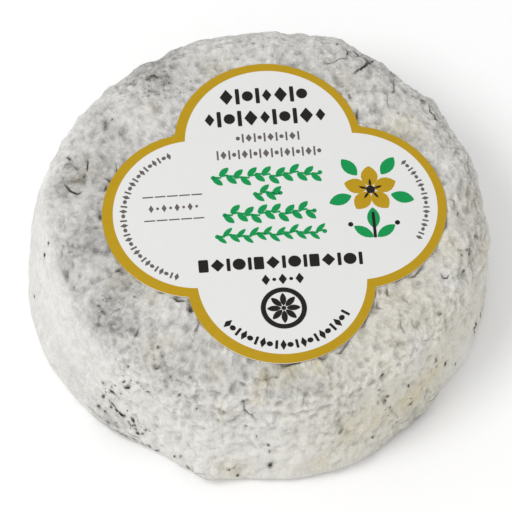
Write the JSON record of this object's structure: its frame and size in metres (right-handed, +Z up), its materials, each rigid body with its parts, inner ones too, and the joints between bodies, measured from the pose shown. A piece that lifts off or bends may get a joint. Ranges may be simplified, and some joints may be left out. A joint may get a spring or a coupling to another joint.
{
  "type": "selles-sur-cher cheese",
  "caption": "Whole ash-coated soft goat cheese: a low, slightly conical disc with a wrinkled grey and white mould rind and a lobed paper label lying on its top.",
  "frame": {"origin": "middle of the flat foot that the cheese stands on, under the middle of its box", "axes": "+Z up through the label, -Y the front, which is the foot of the label's print, +X to the right"},
  "size_m": [0.0902, 0.0906, 0.0275],
  "materials": {
    "rind": "matt, powdery mould over grey ash",
    "label_paper": "smooth coated white paper with an ochre band along its edge"
  },
  "bodies": {
    "root": {"cheese": "rind", "paper_label": "label_paper"}
  },
  "joints": []
}
